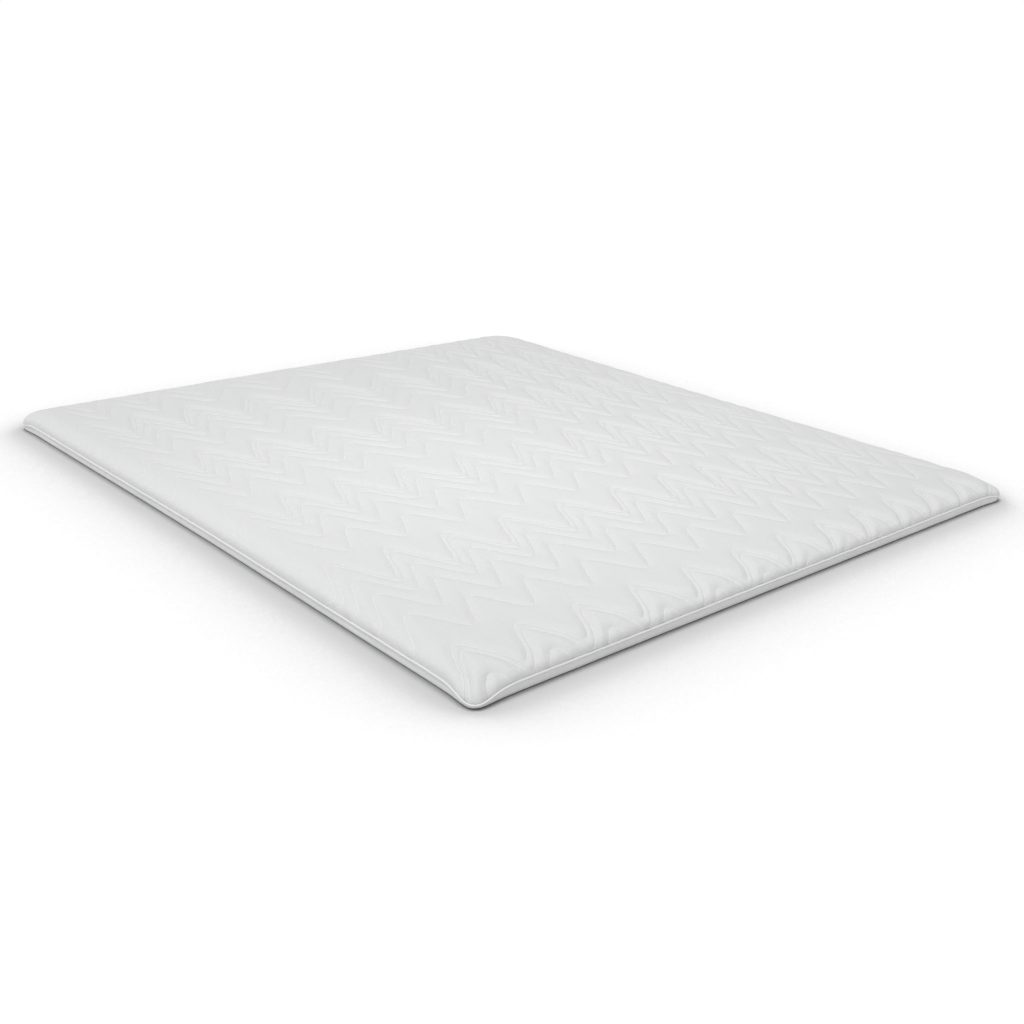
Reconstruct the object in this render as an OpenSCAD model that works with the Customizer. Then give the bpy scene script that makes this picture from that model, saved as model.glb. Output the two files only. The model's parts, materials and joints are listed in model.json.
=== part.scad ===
// Thin memory foam mattress in a removable quilted cover.
// The cover is two panels, a quilted top that rolls over the edge and a plain base that turns up,
// joined all round at a piped seam. A zip in the base panel, at the head end, lets the core out.
// Origin: bottom centre. +Y runs to the head end, +Z up. Millimetres.

/* [Mattress] */
// Width across the piping, side to side
mattress_w = 1800; // [800:50:2000]
// Length across the piping, foot to head
mattress_l = 2000; // [1400:50:2200]
// Radius of the side wall's corners, in plan
corner_r = 60; // [50:5:70]
// Radius of the roll from the top down to the side wall
roll_r = 32; // [26:1:33]
// Radius of the turn from the underside up to the side wall
turn_r = 8; // [6:0.5:8]
// Height of the piped seam above the floor
seam_h = 26; // [26:0.5:27]

/* [Core] */
// Thickness of the memory foam slab
foam_t = 50; // [50:1:120]
// Thickness of the stocking round the slab
liner_t = 0.6; // [0.4:0.1:1]
// Radius of the slab's lower edge
core_edge_r = 5; // [3:0.5:6]

/* [Cover cloth] */
// Thickness of the quilted panel's knit face
knit_t = 0.8; // [0.5:0.1:1]
// Thickness of the quilted panel's wadding
wadding_t = 6.5; // [4:0.5:7]
// Thickness of the quilted panel's backing
backing_t = 0.5; // [0.3:0.1:0.6]
// Thickness of the base cloth
base_t = 1.2; // [0.8:0.1:1.5]
// Air between two layers
layer_gap = 0.1; // [0.05:0.05:0.15]

/* [Quilting] */
// Distance from one double row to the next
band_pitch = 420; // [360:10:480]
// Width of one tooth of the zigzag
tooth_pitch = 145; // [110:5:180]
// Height of a tooth in a single row
single_tooth = 110; // [80:5:120]
// Height of a tooth in a double row
double_tooth = 130; // [100:5:140]
// Distance between the two lines of a double row, along the mattress
double_gap = 16; // [8:1:24]
// Share of a tooth's width that its rising side takes
rise_share = 0.6; // [0.4:0.05:0.7]
// Width of a sewn line
line_w = 1.4; // [0.8:0.2:2]
// Height of a sewn line above the knit
line_h = 0.4; // [0.2:0.1:0.4]

/* [Piping] */
// Outer radius of the piping
piping_r = 2.5; // [2:0.1:2.8]
// Thickness of the piping's cloth
piping_cloth_t = 0.6; // [0.4:0.1:0.8]
// How far the piping's flange reaches into the seam
flange_d = 6; // [4:0.5:8]
// Thickness of the flange
flange_t = 0.5; // [0.3:0.1:0.6]
// Side of the seam thread's square section
seam_thread_w = 0.3; // [0.2:0.05:0.35]

/* [Zip] */
// Distance from the mattress's side to the end of the zip
zip_inset = 80; // [80:10:300]
// Height of the zip's centre above the floor
zip_h = 16.5; // [16.2:0.1:16.8]
// Height of the window in the base cloth that shows the zip
window_h = 12; // [11:0.5:12]
// Height of each tape
tape_h = 7.9; // [7:0.1:8]
// Thickness of each tape
tape_t = 0.6; // [0.4:0.1:0.6]
// Height of each coil
coil_h = 2.8; // [2.4:0.1:2.8]
// Thickness of each coil
coil_t = 2; // [1.6:0.1:2]
// Slit between the two coils, which the slider's neck runs in
slit_h = 0.9; // [0.8:0.1:1.1]
// Length of the slider
slider_l = 11; // [9:0.5:13]
// Thickness of the slider's plates
plate_t = 0.9; // [0.7:0.1:1]
// Length of the pull tab, from its pivot
pull_l = 22; // [16:1:24]
// Width of the pull tab
pull_w = 7; // [6:0.5:7]
// Thickness of the pull tab
pull_t = 1; // [0.8:0.1:1.1]
// Radius of the bar that the pull tab turns on
bar_r = 0.5; // [0.4:0.05:0.5]

/* [Care label] */
// Width of the blank label
label_w = 45; // [30:5:60]
// Height of the blank label
label_h = 18; // [14:1:18]
// Thickness of the blank label
label_t = 0.25; // [0.2:0.05:0.3]
// Place of the label's middle along the side
label_y = 660; // [400:10:700]

/* [Hidden] */
$fn = 48;
arc_steps = 12;

// Heights of the layers, from the floor up
liner_z = base_t + 2 * layer_gap;
core_z = liner_z + liner_t + 2 * layer_gap;
core_top = core_z + foam_t;
panel_t = knit_t + wadding_t + backing_t + 2 * layer_gap;
liner_d = panel_t + 2 * layer_gap;
core_d = liner_d + liner_t + 2 * layer_gap;
top_z = core_top + core_d;

// Depths of the layers, inwards from the cover's outer face
wadding_d = knit_t + layer_gap;
backing_d = wadding_d + wadding_t + layer_gap;

// Plan: the wall, and the middles of its corners
piping_gap = 0.1;
piping_out = piping_gap + piping_r;
wall_x = mattress_w / 2 - piping_out - piping_r;
wall_y = mattress_l / 2 - piping_out - piping_r;
corner_x = wall_x - corner_r;
corner_y = wall_y - corner_r;
flat_x = wall_x - roll_r;
flat_y = wall_y - roll_r;

// Seam: room above and below the flange for the thread
seam_room = flange_t / 2 + seam_thread_w + 2 * layer_gap;
thread_in = 3;

// Zip, at the head end: depths are measured outwards from the wall's face
zip_l = mattress_w - 2 * zip_inset;
tape_y = wall_y - base_t - layer_gap;
coil_y = tape_y + layer_gap / 2;
coil_out = coil_y + coil_t;
plate_gap = 0.25;
outer_plate_y = coil_out + plate_gap;
inner_plate_y = tape_y - tape_t - plate_gap - plate_t;
rim_t = 0.7;
rim_gap = 0.2;
slider_h = slit_h + 2 * (coil_h + rim_gap + rim_t);
neck_gap = 0.2;
neck_h = slit_h - 2 * neck_gap;
neck_l = 2;
stop_l = 3;
stop_gap = 1;
slider_x = zip_l / 2 - stop_l - stop_gap - slider_l / 2;
eye_gap = 0.06;
eye_wall = 0.4;
eye_r = bar_r + eye_gap + eye_wall;
bar_y = outer_plate_y + plate_t + eye_r + plate_gap;
post_w = 0.9;
post_l = 1.2;
eye_w = 4;
post_z = eye_w / 2 + plate_gap / 2;
shoulder = 2;
shoulder_in = 1;
tab_hole_r = 1.6;
sew_w = 0.5;
sew_t = 0.3;
sew_in = 1.2;

// Care label: how far below the piping it starts
label_gap = 0.5;

// Points of an arc round centre c, from angle a0 to a1
function arc(c, r, a0, a1) =
    [for (i = [0 : arc_steps]) let (a = a0 + (a1 - a0) * i / arc_steps)
        [c[0] + r * cos(a), c[1] + r * sin(a)]];

// Half section of the top panel's face, a depth d inside the cover: wall, roll, flat top
function roll_edge(d, low) =
    concat([[corner_r - d, low]],
           arc([corner_r - roll_r, top_z - roll_r], roll_r - d, 0, 90),
           [[0, top_z - d]]);

// Half section of the base cloth's face, a depth d inside the cover: underside, turn, wall
function turn_edge(d, high) =
    concat([[0, d]],
           arc([corner_r - turn_r, turn_r], turn_r - d, -90, 0),
           [[corner_r - d, high]]);

function reversed(p) = [for (i = [len(p) - 1 : -1 : 0]) p[i]];

// Carries a half section round the four sides and corners.
// In the section, X runs outwards from a corner's middle and Y is up.
module carried_round() {
    for (k = [0 : 3]) {
        out = k % 2 == 0 ? corner_x : corner_y;
        along = k % 2 == 0 ? corner_y : corner_x;
        rotate([0, 0, 90 * k]) translate([out, along, 0]) {
            rotate([90, 0, 0]) linear_extrude(2 * along) children();
            rotate_extrude(angle = 90) children();
        }
    }
}

// The flat middle of a layer, inside the corners' middles
module middle(z, t) {
    translate([-corner_x, -corner_y, z]) cube([2 * corner_x, 2 * corner_y, t]);
}

// One layer of the top panel, from depth d to depth d + t
module top_layer(d, t) {
    low = seam_h + seam_room;
    carried_round() polygon(concat(roll_edge(d, low), reversed(roll_edge(d + t, low))));
    middle(top_z - d - t, t);
}

// A closed form inside the cover: d in from the sides and top, z above the floor, lower edge radius r
module filled(d, z, r) {
    half = concat([[0, z]],
                  arc([corner_r - d - r, z + r], r, -90, 0),
                  arc([corner_r - roll_r, top_z - roll_r], roll_r - d, 0, 90),
                  [[0, top_z - d]]);
    carried_round() polygon(half);
    middle(z, top_z - d - z);
}

module foam_core() {
    color("ivory") filled(core_d, core_z, core_edge_r);
}

module core_liner() {
    color("whitesmoke") difference() {
        filled(liner_d, liner_z, core_edge_r + liner_t + layer_gap);
        filled(liner_d + liner_t, liner_z + liner_t, core_edge_r + layer_gap);
    }
}

module panel_knit() {
    color("white") top_layer(0, knit_t);
}

module panel_wadding() {
    color("snow") top_layer(wadding_d, wadding_t);
}

module panel_backing() {
    color("gainsboro") top_layer(backing_d, backing_t);
}

// A zigzag sewn line across the width: a rising side, then a steeper falling one
module zigzag(y, tooth) {
    count = floor(2 * flat_x / tooth_pitch);
    start = -count * tooth_pitch / 2;
    turns = [for (i = [0 : 2 * count])
        [start + tooth_pitch * (floor(i / 2) + (i % 2) * rise_share),
         y + tooth * ((i % 2) - 0.5)]];
    far_side = [for (p = turns) [p[0], p[1] + line_w]];
    translate([0, 0, top_z]) linear_extrude(line_h)
        polygon(concat(turns, reversed(far_side)));
}

// Rows come four to a band, counted from the foot end, and the first of a band is double
rows_in_band = 4;
row_gap = band_pitch / rows_in_band;
row_count = floor(2 * flat_y / row_gap);
function row_y(n) = row_gap * (n - row_count / 2);
function fits(n, tooth) = abs(row_y(n)) + tooth / 2 + double_gap < flat_y;

module sewn_rows(double, tooth) {
    for (n = [0 : row_count])
        if ((n % rows_in_band == 1) == double && fits(n, tooth))
            for (k = [0 : double ? 1 : 0])
                zigzag(row_y(n) - k * double_gap, tooth);
}

module single_rows() {
    color("lightgray") sewn_rows(false, single_tooth);
}

module double_rows() {
    color("silver") sewn_rows(true, double_tooth);
}

module piping_cover() {
    color("white") carried_round() {
        difference() {
            union() {
                translate([corner_r + piping_out, seam_h]) circle(piping_r);
                translate([corner_r - flange_d, seam_h - flange_t / 2])
                    square([flange_d + piping_out, flange_t]);
            }
            translate([corner_r + piping_out, seam_h]) circle(piping_r - piping_cloth_t);
        }
    }
}

module piping_cord() {
    color("ivory") carried_round()
        translate([corner_r + piping_out, seam_h]) circle(piping_r - piping_cloth_t - layer_gap);
}

module seam_thread() {
    color("lightgray") carried_round()
        translate([corner_r - thread_in, seam_h + flange_t / 2 + layer_gap])
            square(seam_thread_w);
}

module base_cloth() {
    high = seam_h - flange_t / 2 - 2 * layer_gap;
    color("whitesmoke") difference() {
        union() {
            carried_round() polygon(concat(turn_edge(0, high), reversed(turn_edge(base_t, high))));
            middle(0, base_t);
        }
        translate([-zip_l / 2, wall_y - 2 * base_t, zip_h - window_h / 2])
            cube([zip_l, 3 * base_t, window_h]);
    }
}

// A tape: side is 1 above the slit and -1 below it
module zip_tape(side) {
    inner = slit_h / 2 + layer_gap;
    low = side > 0 ? zip_h + inner : zip_h - inner - tape_h;
    translate([-zip_l / 2 - stop_l, tape_y - tape_t, low])
        cube([zip_l + 2 * stop_l, tape_t, tape_h]);
}

module zip_tape_upper() {
    color("white") zip_tape(1);
}

module zip_tape_lower() {
    color("white") zip_tape(-1);
}

// A coil's envelope, between the stops, with rounded outer edges
module zip_coil(side) {
    round_r = coil_t / 3;
    low = side > 0 ? zip_h + slit_h / 2 : zip_h - slit_h / 2 - coil_h;
    translate([-zip_l / 2 + stop_l, 0, 0]) rotate([90, 0, 90]) linear_extrude(zip_l - 2 * stop_l)
        translate([coil_y, low]) union() {
            square([coil_t - round_r, coil_h]);
            translate([0, round_r]) square([coil_t, coil_h - 2 * round_r]);
            for (z = [round_r, coil_h - round_r]) translate([coil_t - round_r, z]) circle(round_r);
        }
}

module zip_coil_upper() {
    color("lightgray") zip_coil(1);
}

module zip_coil_lower() {
    color("lightgray") zip_coil(-1);
}

// A slider plate with round ends, its inner face at depth y
module slider_plate(y) {
    translate([slider_x, y + plate_t, zip_h]) rotate([90, 0, 0]) linear_extrude(plate_t) {
        square([slider_l - slider_h, slider_h], center = true);
        for (s = [-1, 1]) translate([s * (slider_l - slider_h) / 2, 0]) circle(slider_h / 2);
    }
}

module zip_slider() {
    color("silver") {
        slider_plate(outer_plate_y);
        slider_plate(inner_plate_y);
        // Neck between the plates, in the slit
        translate([slider_x + neck_l, inner_plate_y + plate_t / 2, zip_h - neck_h / 2])
            cube([neck_l, outer_plate_y - inner_plate_y, neck_h]);
        // Rims that hold the coils in
        for (s = [-1, 1])
            translate([slider_x - slider_l / 4, coil_y + rim_gap,
                       zip_h + s * (slider_h - rim_t) / 2 - rim_t / 2])
                cube([slider_l / 2, outer_plate_y - coil_y, rim_t]);
        // Posts and the bar that the pull tab turns on
        for (s = [-1, 1])
            translate([slider_x - post_l / 2, outer_plate_y + plate_t / 2,
                       zip_h + s * (post_z + post_w / 2) - post_w / 2])
                cube([post_l, bar_y - outer_plate_y - plate_t / 2 + bar_r + eye_gap, post_w]);
        translate([slider_x, bar_y, zip_h - post_z - post_w / 2])
            cylinder(h = 2 * post_z + post_w, r = bar_r);
    }
}

module zip_pull() {
    color("silver") difference() {
        union() {
            translate([slider_x, bar_y, zip_h - eye_w / 2]) cylinder(h = eye_w, r = eye_r);
            translate([slider_x - shoulder - shoulder_in, bar_y - pull_t / 2, zip_h - eye_w / 2])
                cube([shoulder + shoulder_in, pull_t, eye_w]);
            translate([slider_x, bar_y + pull_t / 2, zip_h]) rotate([90, 0, 0])
                linear_extrude(pull_t) {
                    translate([-pull_l + pull_w / 2, -pull_w / 2])
                        square([pull_l - pull_w / 2 - shoulder, pull_w]);
                    translate([-pull_l + pull_w / 2, 0]) circle(pull_w / 2);
                }
        }
        translate([slider_x, bar_y, zip_h - eye_w]) cylinder(h = 2 * eye_w, r = bar_r + eye_gap);
        translate([slider_x - pull_l + pull_w / 2, bar_y + pull_t, zip_h]) rotate([90, 0, 0])
            cylinder(h = 2 * pull_t, r = tab_hole_r);
    }
}

// A stop clipped over a coil's end
module zip_stop(x, low, height) {
    translate([x, coil_y, low]) cube([stop_l, coil_t, height]);
}

module zip_top_stops() {
    color("silver")
        for (s = [-1, 1])
            zip_stop(zip_l / 2 - stop_l, zip_h + s * (slit_h + coil_h) / 2 - coil_h / 2, coil_h);
}

module zip_bottom_stop() {
    color("silver") zip_stop(-zip_l / 2, zip_h - slit_h / 2 - coil_h, slit_h + 2 * coil_h);
}

module zip_thread() {
    color("lightgray")
        for (z = [zip_h - window_h / 2 - sew_in - sew_w, zip_h + window_h / 2 + sew_in - sew_w])
            translate([-zip_l / 2, wall_y, z]) cube([zip_l, sew_t, sew_w]);
}

module care_label() {
    color("white")
        translate([wall_x + layer_gap, label_y - label_w / 2, seam_h - piping_r - label_h - label_gap])
            cube([label_t, label_w, label_h]);
}

foam_core();
core_liner();
panel_knit();
panel_wadding();
panel_backing();
single_rows();
double_rows();
piping_cover();
piping_cord();
seam_thread();
base_cloth();
zip_tape_upper();
zip_tape_lower();
zip_coil_upper();
zip_coil_lower();
zip_slider();
zip_pull();
zip_top_stops();
zip_bottom_stop();
zip_thread();
care_label();
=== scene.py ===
"""Thin quilted memory foam mattress: its cover, piping, sewing, zip, label and core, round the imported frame.

Laid out as an add-on and run as a script. Lengths are in metres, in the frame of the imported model:
X across the width, Y along the length to the head end, Z up from the floor.
"""
import json
import math

import bmesh
import bpy
import numpy as np
from bpy.props import FloatProperty, FloatVectorProperty, IntProperty, PointerProperty
from mathutils import Matrix, Vector

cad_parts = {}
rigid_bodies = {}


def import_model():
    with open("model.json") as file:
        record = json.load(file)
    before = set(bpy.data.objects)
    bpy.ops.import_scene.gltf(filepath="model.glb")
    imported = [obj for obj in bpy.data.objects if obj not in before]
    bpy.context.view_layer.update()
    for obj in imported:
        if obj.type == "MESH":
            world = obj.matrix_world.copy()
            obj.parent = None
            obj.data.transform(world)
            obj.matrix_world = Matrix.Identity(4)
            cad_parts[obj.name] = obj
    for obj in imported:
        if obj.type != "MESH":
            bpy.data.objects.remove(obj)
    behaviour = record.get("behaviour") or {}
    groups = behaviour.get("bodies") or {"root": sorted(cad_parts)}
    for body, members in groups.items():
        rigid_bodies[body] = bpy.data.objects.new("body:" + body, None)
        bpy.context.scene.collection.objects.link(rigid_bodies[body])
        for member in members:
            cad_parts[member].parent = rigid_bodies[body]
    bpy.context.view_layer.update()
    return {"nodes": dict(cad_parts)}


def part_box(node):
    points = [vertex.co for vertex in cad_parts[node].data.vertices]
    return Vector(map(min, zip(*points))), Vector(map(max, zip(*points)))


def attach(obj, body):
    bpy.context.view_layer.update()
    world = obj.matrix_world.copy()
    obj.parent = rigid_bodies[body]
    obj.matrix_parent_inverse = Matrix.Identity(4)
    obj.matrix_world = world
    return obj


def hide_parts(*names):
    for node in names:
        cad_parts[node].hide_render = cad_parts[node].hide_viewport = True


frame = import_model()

bl_info = {
    "name": "Quilted mattress",
    "version": (1, 0, 0),
    "blender": (4, 5, 0),
    "location": "View3D > Sidebar > Mattress",
    "description": "Makes a thin memory foam mattress in a quilted, piped and zipped cover",
    "category": "Add Mesh",
}

MM = 0.001

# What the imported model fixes: the wall, the top, the seam, the layers and the zip
KNIT_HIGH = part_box("panel_knit")[1]
PIPE_LOW, PIPE_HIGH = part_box("piping_cover")
CORE_LOW, CORE_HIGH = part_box("foam_core")
LINER_LOW, LINER_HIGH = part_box("core_liner")
WALL = np.array([KNIT_HIGH.x, KNIT_HIGH.y])
TOP_Z = KNIT_HIGH.z
SEAM_Z = (PIPE_LOW.z + PIPE_HIGH.z) / 2
PIPE_R = (PIPE_HIGH.z - PIPE_LOW.z) / 2
PIPE_OUT = PIPE_HIGH.x - PIPE_R - KNIT_HIGH.x


# ---------------------------------------------------------------- sizes and colours that a user may change


class MattressShape(bpy.types.PropertyGroup):
    corner_radius: FloatProperty(
        name="Corner radius", description="Radius of the corners in plan", default=0.06, unit="LENGTH"
    )
    roll_width: FloatProperty(
        name="Roll width", description="How far in from the side the top starts to roll down",
        default=0.06, unit="LENGTH",
    )
    roll_power: FloatProperty(
        name="Roll squareness", description="2 is an ellipse, more is squarer", default=2.3
    )
    turn_width: FloatProperty(
        name="Turn width", description="How far in the base cloth turns under", default=0.011, unit="LENGTH"
    )
    turn_power: FloatProperty(
        name="Turn squareness", description="2 is an ellipse, more is squarer", default=4.0
    )
    corner_power: FloatProperty(
        name="Corner squareness", description="2 is a quarter circle in plan, more is squarer", default=4.6
    )
    corner_flare: FloatProperty(
        name="Corner flare", description="How far the corners stand out past the sides", default=0.012,
        unit="LENGTH",
    )
    belly: FloatProperty(
        name="Belly", description="How far the panel swells out over the seam", default=0.0022,
        unit="LENGTH",
    )
    side_pull: FloatVectorProperty(
        name="Side pull", description="How far the left, right and foot sides pull in half way along",
        default=(0.006, 0.005, 0.001), unit="LENGTH",
    )
    corner_squash: FloatVectorProperty(
        name="Corner squash",
        description="Share of height lost at the foot-left, foot-right and head corners",
        default=(0.60, 0.42, 0.42),
    )
    corner_droop: FloatVectorProperty(
        name="Corner droop",
        description="Share of the squash that reaches the top: foot left, foot right, head left, head right",
        default=(0.25, 0.45, 0.3, 0.8), size=4,
    )
    squash_reach: FloatProperty(
        name="Squash reach", description="Distance over which a corner's squash fades", default=0.045,
        unit="LENGTH",
    )
    top_waves: FloatProperty(
        name="Top waves", description="Height of the slow waves in the top", default=0.0009, unit="LENGTH"
    )


class MattressQuilting(bpy.types.PropertyGroup):
    first_row: FloatProperty(
        name="First band", description="Place of the first double row's peaks along the length",
        default=-0.865, unit="LENGTH",
    )
    band_pitch: FloatProperty(
        name="Band pitch", description="Distance between double rows at the foot end", default=0.4575,
        unit="LENGTH",
    )
    band_shrink: FloatProperty(
        name="Band shrink", description="How much each band is shorter than the one before",
        default=0.0125, unit="LENGTH",
    )
    row_tilt: FloatProperty(
        name="Row tilt", description="How far a row drops towards the foot, for each metre across",
        default=0.024,
    )
    single_tooth: FloatProperty(
        name="Single tooth", description="Height of the teeth in a single row", default=0.11, unit="LENGTH"
    )
    double_tooth: FloatProperty(
        name="Double tooth", description="Height of the teeth in a double row", default=0.135, unit="LENGTH"
    )
    foot_tooth: FloatProperty(
        name="Foot tooth", description="Height of the teeth in the double row at the foot end", default=0.115,
        unit="LENGTH",
    )
    double_gap: FloatProperty(
        name="Double gap", description="Distance between the two lines of a double row, along the length",
        default=0.028, unit="LENGTH",
    )
    groove_depth: FloatProperty(
        name="Groove depth", description="How deep the sewing draws the knit in", default=0.0009,
        unit="LENGTH",
    )
    groove_width: FloatProperty(
        name="Groove width", description="Half width of the sewn groove", default=0.0026, unit="LENGTH"
    )
    puff_depth: FloatProperty(
        name="Puff", description="Height of the wadding's puff above the sewn rows", default=0.0030,
        unit="LENGTH",
    )
    puff_width: FloatProperty(
        name="Puff width", description="Distance over which the puff rises", default=0.0125, unit="LENGTH"
    )
    cloth_grid: FloatProperty(
        name="Cloth grid", description="Spacing of the simulated cloth's points", default=0.010, unit="LENGTH"
    )
    cloth_frames: IntProperty(
        name="Cloth frames", description="How many frames the cloth swells for", default=16
    )
    cloth_pressure: FloatProperty(
        name="Wadding pressure", description="How hard the wadding presses on the simulated cloth",
        default=3.0,
    )
    cloth_slack: FloatProperty(
        name="Cloth slack", description="Share by which the sewn cloth is longer than its form", default=0.004
    )
    swell_limit: FloatProperty(
        name="Swell limit", description="Height at which the puff is nearly full", default=0.0007,
        unit="LENGTH",
    )
    stitch: FloatProperty(
        name="Quilting stitch", description="Length of one stitch of the quilting", default=0.0052,
        unit="LENGTH",
    )


class MattressColours(bpy.types.PropertyGroup):
    knit: FloatVectorProperty(
        name="Quilted knit", description="Colour of the top panel", subtype="COLOR",
        default=(0.62, 0.622, 0.624),
    )
    base: FloatVectorProperty(
        name="Base cloth", description="Colour of the plain base cloth", subtype="COLOR",
        default=(0.92, 0.922, 0.925),
    )
    piping: FloatVectorProperty(
        name="Piping", description="Colour of the piping", subtype="COLOR", default=(0.71, 0.71, 0.712)
    )
    # The thread is lighter than the knit: partly its own tone, partly a painted highlight standing in for the
    # bright ridges beside the quilting's grooves
    thread: FloatVectorProperty(
        name="Thread", description="Colour of the sewing", subtype="COLOR", default=(0.87, 0.87, 0.87)
    )
    foam: FloatVectorProperty(
        name="Foam", description="Colour of the memory foam", subtype="COLOR", default=(0.84, 0.78, 0.60)
    )


class MattressStage(bpy.types.PropertyGroup):
    camera_place: FloatVectorProperty(
        name="Camera place", description="Where the camera stands", default=(-2.1586, -2.4733, 1.1237),
        unit="LENGTH",
    )
    heading: FloatProperty(
        name="Heading", description="Where the camera points, from +X towards +Y",
        default=math.radians(47.9), unit="ROTATION",
    )
    tilt: FloatProperty(
        name="Tilt", description="How far the camera looks down", default=math.radians(21.06),
        unit="ROTATION",
    )
    roll: FloatProperty(
        name="Roll", description="How far the camera leans", default=math.radians(2.27), unit="ROTATION"
    )
    lens: FloatProperty(name="Lens", description="Focal length in millimetres", default=44.79)
    dome: FloatProperty(name="Dome light", description="Strength of the light from all over", default=0.52)
    lamp: FloatProperty(name="Lamp", description="Strength of the soft lamp at the left", default=2.0)
    lamp_spread: FloatProperty(
        name="Lamp spread", description="Angle across which the lamp is soft", default=math.radians(35),
        unit="ROTATION",
    )
    lamp_way: FloatVectorProperty(
        name="Lamp way", description="Direction in which the lamp shines", default=(0.5, 0.17, -1.2)
    )
    pool: FloatProperty(name="Pool light", description="Power of the panel above the middle", default=3.4)
    pool_place: FloatVectorProperty(
        name="Pool place", description="Where the panel hangs", default=(-0.3, -0.2, 1.2), unit="LENGTH"
    )
    pool_size: FloatProperty(
        name="Pool size", description="Side of the panel above the middle", default=0.8, unit="LENGTH"
    )
    floor_half: FloatProperty(
        name="Floor", description="Distance from the middle of the floor to its sides", default=60.0,
        unit="LENGTH",
    )


def settings():
    """The mattress's property groups on the scene. A roll wider than the corners' radius has no form."""
    scene = bpy.context.scene
    shape = scene.mattress_shape
    if not 0 < shape.roll_width <= shape.corner_radius or not 0 < shape.turn_width <= shape.corner_radius:
        raise ValueError("The roll and the turn must be narrower than the corner radius")
    return shape, scene.mattress_quilting, scene.mattress_colours, scene.mattress_stage


# ---------------------------------------------------------------- the form of the cover


class Section:
    """Half a cross-section of the cover, from a corner's middle outwards to the seam.

    r is the distance out and z the height; both are found from the length of cloth, run, along the
    section. A depth moves the point inwards, square to the section."""

    def __init__(self, r, z, flip):
        self.r, self.z = r, z
        self.run = np.concatenate([[0.0], np.cumsum(np.hypot(np.diff(r), np.diff(z)))])
        slope_r, slope_z = np.gradient(r, self.run), np.gradient(z, self.run)
        size = np.hypot(slope_r, slope_z)
        self.out_r, self.out_z = -flip * slope_z / size, flip * slope_r / size

    def at(self, run, depth):
        """(r, z) of the points at that length of cloth along the section, at that depth."""
        pick = [np.interp(run, self.run, a) for a in (self.r, self.z, self.out_r, self.out_z)]
        return pick[0] - depth * pick[2], pick[1] - depth * pick[3]

    def run_at_height(self, height):
        """The length along the section at which it reaches that height, on its steep part."""
        order = np.argsort(self.z)
        return float(np.interp(height, self.z[order], self.run[order]))


def superellipse(width, height, power, steps=400):
    """A quarter of |x/width|^power + |z/height|^power = 1, from (0, height) to (width, 0)."""
    a = np.linspace(0, np.pi / 2, steps)
    x, z = np.sin(a) ** (2 / power), np.cos(a) ** (2 / power)
    return width * x, height * z


def top_section(shape):
    """The quilted panel's section: flat, then rolling down to the seam."""
    x, z = superellipse(shape.roll_width, TOP_Z - SEAM_Z, shape.roll_power)
    start = shape.corner_radius - shape.roll_width
    r = start + x
    if start > 0:
        r, z = np.concatenate([[0.0], r]), np.concatenate([[z[0]], z])
    return Section(r, SEAM_Z + z, 1)


def base_section(shape):
    """The base cloth's section: flat on the floor, then turning up to the seam."""
    x, z = superellipse(shape.turn_width, SEAM_Z, shape.turn_power)
    r = np.concatenate([[0.0], shape.corner_radius - shape.turn_width + x])
    return Section(r, SEAM_Z - np.concatenate([[z[0]], z]), -1)


def middles(shape):
    """Half the distances between the corners' middles, across and along."""
    return WALL - shape.corner_radius


def gather(s, t, shape):
    """Rounds a rectangular grid's four corners: in each, nested squares become nested quarter circles."""
    cx, cy = middles(shape)
    out_s, out_t = past_middles(s, t, shape)
    far, near = np.maximum(out_s, out_t), np.minimum(out_s, out_t)
    angle = np.pi / 4 * near / np.maximum(far, 1e-9)
    angle = np.where(out_t > out_s, np.pi / 2 - angle, angle)
    x = np.sign(s) * (np.minimum(np.abs(s), cx) + far * np.cos(angle))
    y = np.sign(t) * (np.minimum(np.abs(t), cy) + far * np.sin(angle))
    return x, y


def past_middles(x, y, shape):
    """How far each place is past the corners' middles, across and along; 0 inside them."""
    cx, cy = middles(shape)
    return np.maximum(np.abs(x) - cx, 0), np.maximum(np.abs(y) - cy, 0)


def square_corners(x, y, shape):
    """Pushes each corner's quarter circles out to superellipses: the distance from the corner's middle
    is divided by (cos^p + sin^p)^(1/p) of its angle."""
    cx, cy = middles(shape)
    out_x, out_y = past_middles(x, y, shape)
    away = np.maximum(np.hypot(out_x, out_y), 1e-9)
    p = shape.corner_power
    grow = ((out_x / away) ** p + (out_y / away) ** p + 1e-12) ** (-1 / p)
    both = (out_x > 0) & (out_y > 0)
    x = np.where(both, np.sign(x) * (cx + out_x * grow), x)
    return x, np.where(both, np.sign(y) * (cy + out_y * grow), y)


# Where a corner's squash is greatest, as a share of its radius; its flare at the seam and what it gains
# at the top
TIP_SHARE, FLARE_LOW, FLARE_GAIN = 0.85, 0.55, 0.45
# Each slow wave of the top: its turns across and along in radians a metre, and where it starts
SLOW_WAVES = ((5.1, 2.3, 0.4), (-3.4, 6.2, 1.9), (8.3, -4.1, 0.0))


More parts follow.
